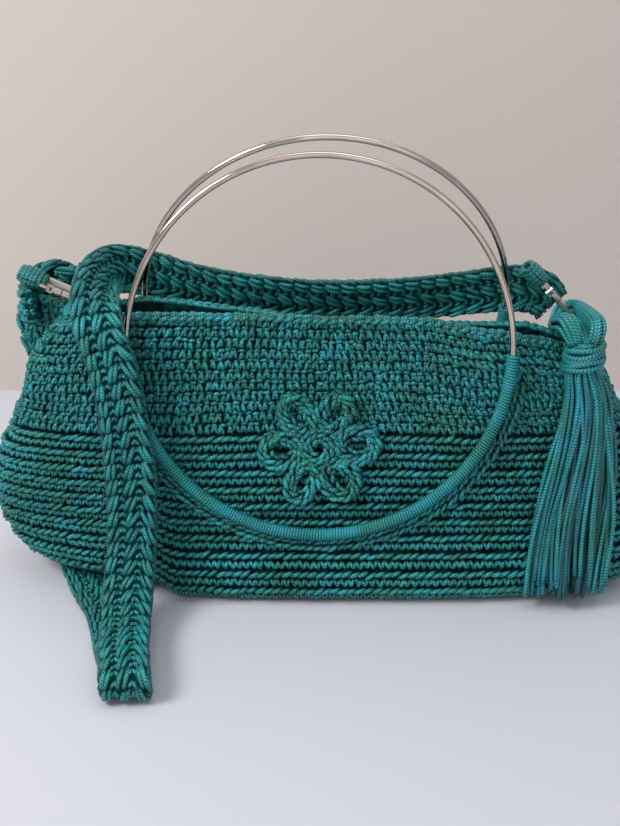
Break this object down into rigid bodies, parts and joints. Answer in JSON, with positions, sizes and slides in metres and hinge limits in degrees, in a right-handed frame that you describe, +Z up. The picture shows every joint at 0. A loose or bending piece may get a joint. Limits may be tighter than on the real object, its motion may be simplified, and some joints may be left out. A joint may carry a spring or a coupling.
{
  "type": "crocheted handbag",
  "caption": "Soft crocheted handbag with ring handles bound to its panels, a long band strap held by spring clasps, a looped flower and a cord tassel.",
  "frame": {"origin": "on the bag's flat underside, below the centre of the front ring handle, midway through the bag's depth", "axes": "+X along the bag to the right as its front is seen, +Y to the back, +Z up; the front panel with the flower faces -Y"},
  "size_m": [0.3741, 0.2115, 0.2496],
  "materials": {
    "cord": "crocheted round polyester cord, shiny teal",
    "steel": "polished round steel wire, welded into rings",
    "clasp_steel": "polished cast steel with worn edges"
  },
  "bodies": {
    "bag": {"bag_body": "cord", "front_ring": "steel", "back_ring": "steel", "front_ring_wrap": "cord", "back_ring_wrap": "cord", "strap": "cord", "flower": "cord", "left_clasp_body": "clasp_steel", "right_clasp_body": "clasp_steel", "left_corner_loop": "cord", "right_corner_loop": "cord", "tassel": "cord", "tassel_binding": "cord"},
    "left_gate": {"left_clasp_gate": "clasp_steel"},
    "right_gate": {"right_clasp_gate": "clasp_steel"}
  },
  "joints": [
    {"name": "left_gate_hinge", "type": "hinge", "parent": "bag", "child": "left_gate", "pos_m": [-0.14428, -0.0072, 0.16843], "axis": [0.4067, 0, 0.9135], "range_deg": [0, 28], "stiffness_Nm_per_rad": 0.004, "springref_deg": -28.65},
    {"name": "right_gate_hinge", "type": "hinge", "parent": "bag", "child": "right_gate", "pos_m": [0.12388, -0.0032, 0.16547], "axis": [0.7193, 0, 0.6947], "range_deg": [0, 28], "stiffness_Nm_per_rad": 0.004, "springref_deg": -28.65}
  ]
}
